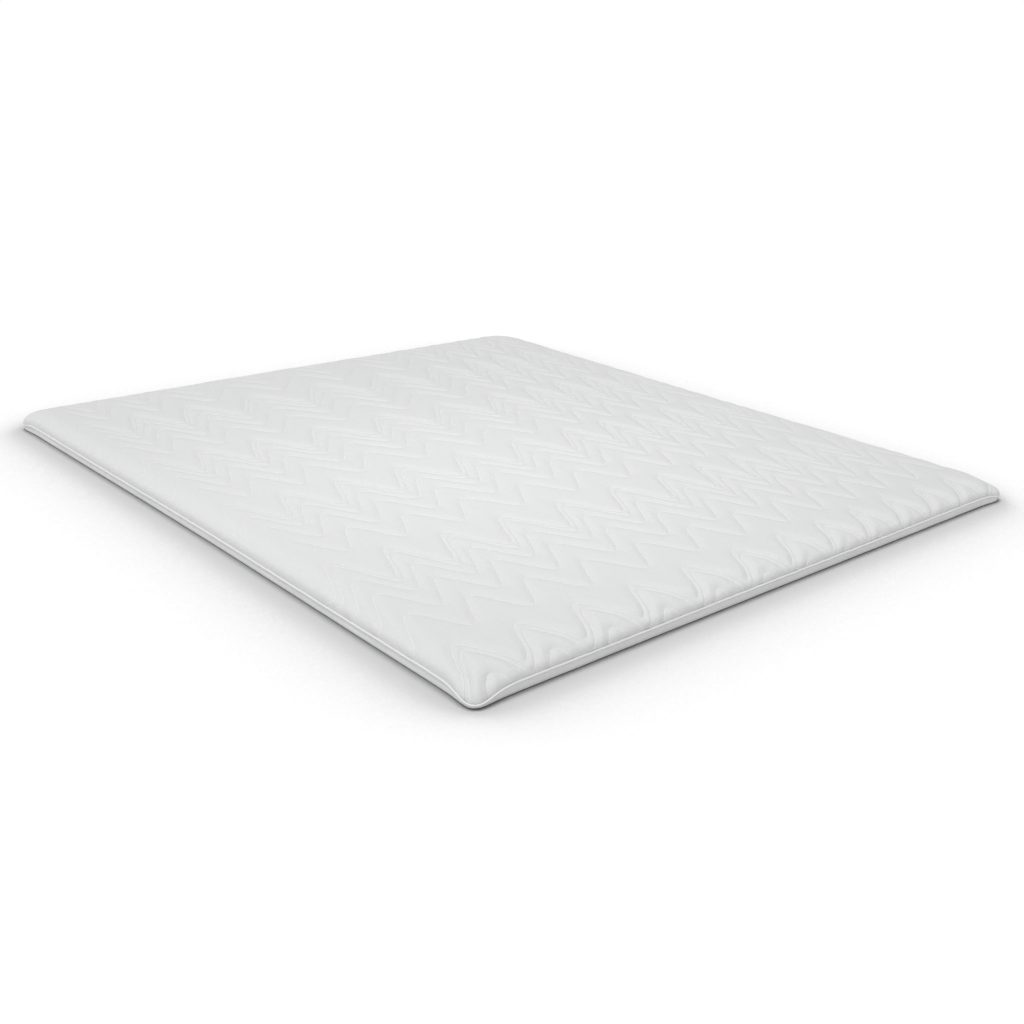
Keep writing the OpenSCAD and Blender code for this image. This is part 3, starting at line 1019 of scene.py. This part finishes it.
class MATTRESS_OT_base_cloth(bpy.types.Operator):
    """Makes the plain base cloth: flat underneath and turned up to the seam, with the zip's window"""

    bl_idname = "mattress.base_cloth"
    bl_label = "Base cloth"

    def execute(self, context):
        shape, _, colours, _ = settings()
        section = base_section(shape)
        cx, cy = middles(shape)
        reach = section.run[-1]
        tape_low, tape_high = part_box("zip_tape_lower")[0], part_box("zip_tape_upper")[1]
        window_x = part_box("zip_thread")[1].x
        window_z = [tape_low.z + 2.45 * MM, tape_high.z - 2.45 * MM]
        levels = [cy + section.run_at_height(z) for z in window_z]
        fine, wide = 2 * MM, 9 * MM
        flat_x, flat_y = middles(shape) + 20 * MM
        side = lines_between([flat_x, cx + reach], fine)
        inside = lines_between([-flat_x, -window_x, window_x, flat_x], wide)[1:-1]
        across = np.concatenate([-side[::-1], inside, side])
        head = lines_between([flat_y, *levels, cy + reach], fine)
        foot = lines_between([flat_y, cy + reach], fine)
        along = np.concatenate([-foot[::-1], lines_between([-flat_y, flat_y], wide)[1:-1], head])
        s, t = np.meshgrid(across, along, indexing="ij")
        x, y = gather(s, t, shape)
        room = edge_room(x, y, shape, section)
        face = wrap(x, y, section, shape)
        # the cloth's own slackness: long shallow swells along the strip, none where the zip is
        strip = np.exp(-(((room - 0.014) / 0.010) ** 2)) * (1 - smooth((y - cy) / 0.02))
        length = along_edge(x, y)
        swell = 0.8 * MM * strip * (np.sin(17 * length) + np.sin(39 * length + 1) - 1.2) / 2
        face = face - grid_normals(face) * swell[..., None]
        # beside the zip the cloth stands upright, in front of the tapes
        upright = smooth((face[..., 2] - 0.004) / 0.004) * smooth((cx + 0.02 - np.abs(x)) / 0.03) * (y > cy)
        clear = np.maximum(tape_high.y + 1.2 * MM - face[..., 1], 0)
        face[..., 1] += upright * clear
        faces = grid_faces(*s.shape)
        mid = face.reshape(-1, 3)[faces].mean(axis=1)
        mid_s = s.ravel()[faces].mean(axis=1)
        mid_t = t.ravel()[faces].mean(axis=1)
        in_window = (
            (mid_t > levels[0]) & (mid_t < levels[1]) & (np.abs(mid_s) < window_x) & (mid[:, 1] > 0)
        )
        faces = faces[~in_window][:, ::-1]
        used, faces = np.unique(faces, return_inverse=True)
        points = face.reshape(-1, 3)[used]
        uv = np.stack([x, y], -1).reshape(-1, 2)[used]
        mesh = build_mesh("base_panel", points, [faces.reshape(-1, 4)], uv)
        obj = add_object("base_panel", mesh, woven_material("base_knit", colours.base, 1.6 * MM),
                         "mattress", ("base_cloth",))
        thicken(obj, "cloth thickness", 1.0 * MM, -1)
        return {"FINISHED"}


# ---------------------------------------------------------------- operators: what is inside


def pillow(name, top, base, depth, floor_z, spacing, shape):
    """A closed form inside the cover: the top section and the base section, both a depth in, meeting
    at the seam's height. Both halves have the same grid, with the base's roll scaled to its length."""
    cx, cy = middles(shape)
    scale = base.run[-1] / top.run[-1]

    def lines(half):
        roll = lines_between([half, half + top.run[-1]], spacing / 4)
        return np.concatenate([-roll[::-1], lines_between([-half, half], spacing * 4)[1:-1], roll])

    def refit(place, half):
        out = np.maximum(np.abs(place) - half, 0) * scale
        return np.sign(place) * (np.minimum(np.abs(place), half) + out)

    s, t = np.meshgrid(lines(cx), lines(cy), indexing="ij")
    x, y = gather(s, t, shape)
    upper = wrap(x, y, top, shape, depth=depth)
    lower = wrap(*gather(refit(s, cx), refit(t, cy), shape), base, shape, depth=depth)
    lower[..., 2] = np.maximum(lower[..., 2], floor_z)
    rows, columns = s.shape
    edge = rim(rows, columns)
    points = np.concatenate([upper.reshape(-1, 3), lower.reshape(-1, 3)])
    points[edge] = (points[edge] + points[edge + rows * columns]) / 2
    same = np.arange(2 * rows * columns)
    same[edge + rows * columns] = edge
    lower_faces = grid_faces(rows, columns, rows * columns)[:, ::-1]
    faces = np.concatenate([grid_faces(rows, columns), same[lower_faces]])
    used, faces = np.unique(faces, return_inverse=True)
    uv = np.tile(np.stack([x, y], -1).reshape(-1, 2), (2, 1))[used]
    return build_mesh(name, points[used], [faces.reshape(-1, 4)], uv)


class MATTRESS_OT_core(bpy.types.Operator):
    """Makes the memory foam slab and the thin knitted stocking round it"""

    bl_idname = "mattress.core"
    bl_label = "Foam core and liner"

    def execute(self, context):
        shape, _, colours, _ = settings()
        top, base = top_section(shape), base_section(shape)
        depth = WALL[0] - CORE_HIGH.x
        mesh = pillow("memory_foam_core", top, base, depth, CORE_LOW.z, 16 * MM, shape)
        foam = add_object("memory_foam_core", mesh, foam_material("memory_foam", colours.foam), "mattress",
                          ("foam_core",))
        depth = WALL[0] - LINER_HIGH.x
        mesh = pillow("core_stocking", top, base, depth, LINER_LOW.z, 16 * MM, shape)
        liner = add_object("core_stocking", mesh, woven_material("liner_knit", colours.base, 1.2 * MM),
                           "mattress", ("core_liner",))
        thicken(liner, "stocking thickness", 0.5 * MM, -1)
        return {"FINISHED"}


# ---------------------------------------------------------------- operators: zip and label


def softened(node, width, material, body, name):
    """A copy of a CAD node with its doubles merged and its edges rounded by a bevel, in the node's place."""
    mesh = frame["nodes"][node].data.copy()
    mesh.name = name
    work = bmesh.new()
    work.from_mesh(mesh)
    bmesh.ops.remove_doubles(work, verts=work.verts, dist=1e-6)
    bmesh.ops.dissolve_limit(work, angle_limit=math.radians(2), verts=work.verts, edges=work.edges)
    work.to_mesh(mesh)
    work.free()
    mesh.materials.clear()
    mesh.polygons.foreach_set("use_smooth", np.ones(len(mesh.polygons), bool))
    obj = add_object(name, mesh, material, body, (node,))
    edge = obj.modifiers.new("rounded edges", "BEVEL")
    edge.width = width
    edge.segments = 3
    edge.limit_method = "ANGLE"
    edge.angle_limit = math.radians(40)
    edge.harden_normals = False
    edge.use_clamp_overlap = True
    return obj


def coil(name, node, turn, offset, material):
    """Half a zip coil: one thread wound along the zip, a flattened helix inside the CAD rod's box. A
    ring of five points is carried along x = pitch * turns, y and z on a squarish oval."""
    low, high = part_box(node)
    pitch, thread = 1.3 * MM, 0.26 * MM
    centre_y, centre_z = (low.y + high.y) / 2, (low.z + high.z) / 2
    half_y, half_z = (high.y - low.y) / 2 - thread, (high.z - low.z) / 2 - thread
    turns = int((high.x - low.x) / pitch) - 1
    a = np.arange(turns * 10 + 1) * np.pi / 5
    x = low.x + pitch * (0.5 + offset) + pitch * a / (2 * np.pi)
    oval = np.stack([
        x,
        centre_y + half_y * np.sign(np.cos(a)) * np.abs(np.cos(a)) ** 0.8,
        centre_z + turn * half_z * np.sign(np.sin(a)) * np.abs(np.sin(a)) ** 0.8,
    ], axis=1)
    ahead = unit(np.gradient(oval, axis=0))
    side = unit(np.cross(ahead, [1.0, 0.0, 0.0]))
    up = np.cross(side, ahead)
    b = np.arange(5) * 2 * np.pi / 5
    ring = np.cos(b)[None, :, None] * side[:, None] + np.sin(b)[None, :, None] * up[:, None]
    points = oval[:, None] + thread * ring
    faces = grid_faces(len(a), 5, close_columns=True)
    first, last = np.arange(5)[None], (len(a) - 1) * 5 + np.arange(5)[None]
    mesh = build_mesh(name, points.reshape(-1, 3), [faces, first[:, ::-1], last])
    work = bmesh.new()
    work.from_mesh(mesh)
    bmesh.ops.recalc_face_normals(work, faces=work.faces)
    work.to_mesh(mesh)
    work.free()
    return add_object(name, mesh, material, "mattress", (node,))


class MATTRESS_OT_zip(bpy.types.Operator):
    """Makes the zip at the head end: tapes, wound coils, stops, slider, pull tab and the sewing beside it"""

    bl_idname = "mattress.zip"
    bl_label = "Zip"

    def execute(self, context):
        _, _, colours, _ = settings()
        tape = woven_material("zip_tape", colours.piping, 0.7 * MM, use_uv=False)
        for node in ("zip_tape_upper", "zip_tape_lower"):
            softened(node, 0.15 * MM, tape, "mattress", node + "_web")
        nylon = plain_material("zip_coil", (0.80, 0.80, 0.79), 0.32, 0.0)
        coil("zip_coil_upper_wire", "zip_coil_upper", 1, 0.0, nylon)
        coil("zip_coil_lower_wire", "zip_coil_lower", -1, 0.5, nylon)
        painted = plain_material("zip_metal", (0.78, 0.78, 0.78), 0.28, 0.0)
        softened("zip_slider", 0.18 * MM, painted, "slider", "zip_slider_cast")
        softened("zip_pull", 0.22 * MM, painted, "pull", "zip_pull_tab")
        steel = plain_material("stop_metal", (0.62, 0.62, 0.64), 0.35, 1.0)
        softened("zip_top_stops", 0.3 * MM, steel, "mattress", "zip_top_stop_pair")
        softened("zip_bottom_stop", 0.3 * MM, steel, "mattress", "zip_bottom_stop_block")
        low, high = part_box("zip_thread")
        rows = [
            along_line(np.array([[x, low.y + 0.1 * MM, z] for x in (low.x + MM, high.x - MM)]), 3.2 * MM)
            for z in (low.z + 0.25 * MM, high.z - 0.25 * MM)
        ]
        middle, direction, length = map(np.concatenate, zip(*rows))
        out = np.repeat([[0.0, 1.0, 0.0]], len(middle), axis=0)
        sewing = thread_material("zip_sewing", colours.thread)
        sew("zip_stitches", (middle, direction, out, length), 0.22 * MM, sewing, "zip_thread")
        return {"FINISHED"}


class MATTRESS_OT_care_label(bpy.types.Operator):
    """Makes the blank care label that hangs from the seam on the hidden long side"""

    bl_idname = "mattress.care_label"
    bl_label = "Care label"

    def execute(self, context):
        shape, _, colours, _ = settings()
        low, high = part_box("care_label")
        y, z = np.meshgrid(
            np.linspace(low.y, high.y, 46), np.linspace(low.z, high.z, 20), indexing="ij"
        )
        hang = (high.z - z) / (high.z - low.z)
        curl = 0.9 * MM * hang**2 * (0.5 + 0.5 * np.sin((y - low.y) / (high.y - low.y) * 5))
        x = np.full_like(y, low.x) + 0.3 * MM + curl
        points = settle(np.stack([x, y, z], axis=-1), shape)
        faces = grid_faces(*y.shape)
        uv = np.stack([y, z], -1).reshape(-1, 2)
        mesh = build_mesh("care_label_tag", points.reshape(-1, 3), [faces], uv)
        obj = add_object("care_label_tag", mesh, woven_material("label_satin", colours.base, 0.4 * MM),
                         "mattress", ("care_label",))
        thicken(obj, "label thickness", 0.25 * MM, 0)
        return {"FINISHED"}


# ---------------------------------------------------------------- materials


class Nodes:
    """A short way to add shader nodes and to link them."""

    def __init__(self, name):
        self.material = bpy.data.materials.new(name)
        self.material.use_nodes = True
        self.tree = self.material.node_tree
        self.tree.nodes.clear()
        self.shader = self.add("ShaderNodeBsdfPrincipled")
        out = self.add("ShaderNodeOutputMaterial")
        self.link(self.shader, "BSDF", out, "Surface")

    def add(self, kind, **values):
        node = self.tree.nodes.new(kind)
        for key, value in values.items():
            if hasattr(node, key):
                setattr(node, key, value)
            else:
                node.inputs[key.replace("_", " ")].default_value = value
        return node

    def link(self, source, output, target, socket):
        self.tree.links.new(source.outputs[output], target.inputs[socket])

    def math(self, operation, a, b=None):
        """A maths node on two values, each a number or an output socket."""
        node = self.tree.nodes.new("ShaderNodeMath")
        node.operation = operation
        for i, value in enumerate((a, b)):
            if value is None:
                continue
            if isinstance(value, (int, float)):
                node.inputs[i].default_value = value
            else:
                self.tree.links.new(value, node.inputs[i])
        return node.outputs[0]

    def bump(self, height, distance, strength=1.0, under=None):
        node = self.tree.nodes.new("ShaderNodeBump")
        node.inputs["Strength"].default_value = strength
        node.inputs["Distance"].default_value = distance
        self.tree.links.new(height, node.inputs["Height"])
        if under is not None:
            self.tree.links.new(under, node.inputs["Normal"])
        return node.outputs["Normal"]

    def texture(self, kind, vector, **values):
        """A texture on those coordinates."""
        node = self.add(kind, **values)
        self.tree.links.new(vector, node.inputs["Vector"])
        return node

    def finish(self, normal, **values):
        """Gives the shader its normal and its plain values, and returns the material."""
        self.tree.links.new(normal, self.shader.inputs["Normal"])
        for key, value in values.items():
            self.shader.inputs[key.replace("_", " ")].default_value = value
        return self.material

    def mottle(self, colour, vector, scale, spread):
        """The base colour, a little lighter and darker in soft patches."""
        noise = self.texture("ShaderNodeTexNoise", vector, Scale=scale, Detail=4.0, Roughness=0.6)
        ramp = self.add("ShaderNodeValToRGB")
        dark, light = ramp.color_ramp.elements
        dark.position, light.position = 0.3, 0.7
        dark.color = (*[c * (1 - spread) for c in colour], 1)
        light.color = (*[min(1.0, c * (1 + spread)) for c in colour], 1)
        self.link(noise, "Fac", ramp, "Fac")
        self.link(ramp, "Color", self.shader, "Base Color")


def cloth_vector(nodes, use_uv):
    """Cloth's own coordinates in metres: its UV map, or the object's coordinates."""
    if use_uv:
        return nodes.add("ShaderNodeUVMap", uv_map="cloth").outputs["UV"]
    return nodes.add("ShaderNodeTexCoord").outputs["Object"]


def knit_material(name, colour):
    """Soft white knit: columns of small V-shaped loops, with a slight nap and faint patches."""
    nodes = Nodes(name)
    uv = cloth_vector(nodes, True)
    split = nodes.add("ShaderNodeSeparateXYZ")
    nodes.tree.links.new(uv, split.inputs[0])
    wale, course = 1.5 * MM, 1.2 * MM
    across = nodes.math("DIVIDE", split.outputs["X"], wale)
    slant = nodes.math("ABSOLUTE", nodes.math("SUBTRACT", nodes.math("FRACT", across), 0.5))
    along = nodes.math("ADD", nodes.math("DIVIDE", split.outputs["Y"], course), slant)
    loop = nodes.math("SINE", nodes.math("MULTIPLY", along, 2 * math.pi))
    rib = nodes.math("SINE", nodes.math("MULTIPLY", across, 2 * math.pi))
    height = nodes.math("ADD", nodes.math("MULTIPLY", loop, 0.5), nodes.math("MULTIPLY", rib, 0.5))
    nodes.mottle(colour, uv, 160.0, 0.02)
    nap = nodes.texture("ShaderNodeTexNoise", uv, Scale=420.0, Detail=3.0, Roughness=0.7)
    slub = nodes.texture("ShaderNodeTexNoise", uv, Scale=60.0, Detail=3.0, Roughness=0.6)
    normal = nodes.bump(height, 0.10 * MM, 0.6)
    normal = nodes.bump(nap.outputs["Fac"], 0.35 * MM, 0.6, normal)
    normal = nodes.bump(slub.outputs["Fac"], 2.6 * MM, 0.5, normal)
    return nodes.finish(
        normal, Roughness=0.92, Specular_IOR_Level=0.15, Sheen_Weight=0.12, Sheen_Roughness=0.5
    )


def woven_material(name, colour, pitch, use_uv=True):
    """Plain woven or warp-knitted cloth: two sets of fine ribs crossing at a pitch. A piece without a UV
    map stands upright along X, so its ribs cross along X and Z."""
    nodes = Nodes(name)
    uv = cloth_vector(nodes, use_uv)
    split = nodes.add("ShaderNodeSeparateXYZ")
    nodes.tree.links.new(uv, split.inputs[0])
    turn = 2 * math.pi / pitch
    warp = nodes.math("SINE", nodes.math("MULTIPLY", split.outputs["X"], turn))
    weft = nodes.math("SINE", nodes.math("MULTIPLY", split.outputs["Y" if use_uv else "Z"], turn))
    height = nodes.math("MULTIPLY", warp, weft)
    nodes.mottle(colour, uv, 120.0, 0.025)
    normal = nodes.bump(height, 0.12 * MM, 0.6)
    nap = nodes.texture("ShaderNodeTexNoise", uv, Scale=500.0, Detail=3.0)
    normal = nodes.bump(nap.outputs["Fac"], 0.2 * MM, 0.4, normal)
    return nodes.finish(normal, Roughness=0.85, Specular_IOR_Level=0.2, Sheen_Weight=0.08)


def thread_material(name, colour):
    """Polyester thread: fine slanting twist over a slightly shiny yarn."""
    nodes = Nodes(name)
    place = cloth_vector(nodes, False)
    nodes.mottle(colour, place, 900.0, 0.05)
    twist = nodes.texture("ShaderNodeTexWave", place, Scale=700.0, Distortion=1.5)
    twist.bands_direction = "DIAGONAL"
    normal = nodes.bump(twist.outputs["Fac"], 0.05 * MM, 0.5)
    return nodes.finish(normal, Roughness=0.6, Specular_IOR_Level=0.3)


def foam_material(name, colour):
    """Memory foam: fine open cells and a few slow patches of tone."""
    nodes = Nodes(name)
    place = cloth_vector(nodes, False)
    nodes.mottle(colour, place, 14.0, 0.05)
    cells = nodes.texture("ShaderNodeTexVoronoi", place, Scale=900.0)
    normal = nodes.bump(cells.outputs["Distance"], 0.4 * MM, 0.7)
    return nodes.finish(normal, Roughness=0.95, Subsurface_Weight=0.1, Subsurface_Scale=0.003)


def plain_material(name, colour, roughness, metallic):
    """Moulded nylon, paint or metal: fine grain in the surface and small changes of tone."""
    nodes = Nodes(name)
    place = cloth_vector(nodes, False)
    nodes.mottle(colour, place, 300.0, 0.03)
    grain = nodes.texture("ShaderNodeTexNoise", place, Scale=2500.0, Detail=2.0)
    normal = nodes.bump(grain.outputs["Fac"], 0.02 * MM, 0.3)
    return nodes.finish(normal, Roughness=roughness, Metallic=metallic)


# ---------------------------------------------------------------- stage


# Painted shadow on the floor, as tones of its colour: how much of the sky is open there, and how light the
# floor's colour is painted there; the darkest tone is where the sky is most hidden, the lightest is the plain
# floor
FLOOR_PAINTED_SHADOW_TONES = ((0.5, 0.38), (0.6, 0.56), (0.87, 0.60), (0.95, 0.67), (0.985, 0.80))
DARKEST_PAINTED_SHADOW, LIGHTEST_FLOOR = 0.15, 0.94


def floor_with_painted_shadow():
    """A plain pale floor with a painted shadow: an ambient-occlusion node feeds a ramp, so the floor's colour
    is a little darker where the mattress hides some of the sky from it.
    """
    nodes = Nodes("floor_with_painted_shadow")
    open_sky = nodes.add("ShaderNodeAmbientOcclusion", Distance=0.5)
    open_sky.samples = 12
    ramp = nodes.add("ShaderNodeValToRGB")
    for place, tone in FLOOR_PAINTED_SHADOW_TONES:
        ramp.color_ramp.elements.new(place).color = (tone, tone, tone, 1)
    ramp.color_ramp.elements[0].color = (DARKEST_PAINTED_SHADOW, DARKEST_PAINTED_SHADOW, DARKEST_PAINTED_SHADOW, 1)
    ramp.color_ramp.elements[-1].color = (LIGHTEST_FLOOR, LIGHTEST_FLOOR, LIGHTEST_FLOOR, 1)
    # painted shadow: the share of open sky sets the floor's colour through the ramp, darker near the mattress
    nodes.link(open_sky, "AO", ramp, "Fac")
    nodes.link(ramp, "Color", nodes.shader, "Base Color")
    nodes.shader.inputs["Roughness"].default_value = 1.0
    nodes.shader.inputs["Specular IOR Level"].default_value = 0.0
    return nodes.material


def light_dome(tree, stage):
    """An even dome of light, plain white where the camera looks past the floor."""
    background = tree.nodes["Background"]
    background.inputs["Color"].default_value = (1, 1, 1, 1)
    mix = tree.nodes.new("ShaderNodeMix")
    mix.inputs["A"].default_value, mix.inputs["B"].default_value = stage.dome, 1.0
    tree.links.new(tree.nodes.new("ShaderNodeLightPath").outputs["Is Camera Ray"], mix.inputs["Factor"])
    tree.links.new(mix.outputs["Result"], background.inputs["Strength"])


class MATTRESS_OT_stage(bpy.types.Operator):
    """Makes the pale floor with its painted shadow, the soft studio light and the camera"""

    bl_idname = "mattress.stage"
    bl_label = "Stage, light and camera"

    def execute(self, context):
        _, _, _, stage = settings()
        half = stage.floor_half
        corners = np.array([[-half, -half, 0], [half, -half, 0], [half, half, 0], [-half, half, 0]])
        mesh = build_mesh("floor", corners, [np.array([[0, 1, 2, 3]])])
        floor = bpy.data.objects.new("floor", mesh)
        context.collection.objects.link(floor)
        mesh.materials.append(floor_with_painted_shadow())

        world = bpy.data.worlds.new("studio")
        world.use_nodes = True
        light_dome(world.node_tree, stage)
        context.scene.world = world

        light = bpy.data.lights.new("overhead", "SUN")
        light.energy = stage.lamp
        light.angle = stage.lamp_spread
        lamp = bpy.data.objects.new("overhead", light)
        context.collection.objects.link(lamp)
        lamp.rotation_euler = Vector(stage.lamp_way).to_track_quat("-Z", "Y").to_euler()

        panel = bpy.data.lights.new("pool", "AREA")
        panel.energy, panel.size = stage.pool, stage.pool_size
        pool = bpy.data.objects.new("pool", panel)
        context.collection.objects.link(pool)
        pool.location = stage.pool_place
        pool.visible_camera = False
        pool.light_linking.receiver_collection = bpy.data.collections.new("lit by the pool")
        for obj in context.scene.objects:
            if obj.type == "MESH" and obj is not floor:
                pool.light_linking.receiver_collection.objects.link(obj)

        data = bpy.data.cameras.new("camera")
        data.lens = stage.lens
        data.sensor_width = 36
        data.clip_start = 0.01
        camera = bpy.data.objects.new("camera", data)
        context.collection.objects.link(camera)
        ahead = Vector((
            math.cos(stage.tilt) * math.cos(stage.heading),
            math.cos(stage.tilt) * math.sin(stage.heading),
            -math.sin(stage.tilt),
        ))
        level = Vector((math.sin(stage.heading), -math.cos(stage.heading), 0))
        up = level.cross(ahead)
        right = level * math.cos(stage.roll) + up * math.sin(stage.roll)
        turned = Matrix((right, right.cross(ahead), -ahead)).transposed()
        camera.matrix_world = Matrix.Translation(stage.camera_place) @ turned.to_4x4()
        context.scene.camera = camera
        context.scene.view_settings.view_transform = "Standard"
        return {"FINISHED"}


class MATTRESS_PT_sidebar(bpy.types.Panel):
    """Lists the mattress's pieces in the 3D view's sidebar"""

    bl_idname = "MATTRESS_PT_sidebar"
    bl_label = "Mattress"
    bl_space_type = "VIEW_3D"
    bl_region_type = "UI"
    bl_category = "Mattress"

    def draw(self, context):
        for step in STEPS:
            self.layout.operator(step.bl_idname)


GROUPS = {
    "mattress_shape": MattressShape,
    "mattress_quilting": MattressQuilting,
    "mattress_colours": MattressColours,
    "mattress_stage": MattressStage,
}
STEPS = (
    MATTRESS_OT_core,
    MATTRESS_OT_base_cloth,
    MATTRESS_OT_top_panel,
    MATTRESS_OT_quilting_thread,
    MATTRESS_OT_piping,
    MATTRESS_OT_zip,
    MATTRESS_OT_care_label,
    MATTRESS_OT_stage,
)


def register():
    for group in GROUPS.values():
        bpy.utils.register_class(group)
    for step in STEPS:
        bpy.utils.register_class(step)
    bpy.utils.register_class(MATTRESS_PT_sidebar)
    for name, group in GROUPS.items():
        setattr(bpy.types.Scene, name, PointerProperty(type=group))


def unregister():
    for name in GROUPS:
        delattr(bpy.types.Scene, name)
    bpy.utils.unregister_class(MATTRESS_PT_sidebar)
    for step in reversed(STEPS):
        bpy.utils.unregister_class(step)
    for group in reversed(GROUPS.values()):
        bpy.utils.unregister_class(group)


def main():
    register()
    for step in STEPS:
        family, action = step.bl_idname.split(".")
        getattr(getattr(bpy.ops, family), action)()


if __name__ == "__main__":
    main()
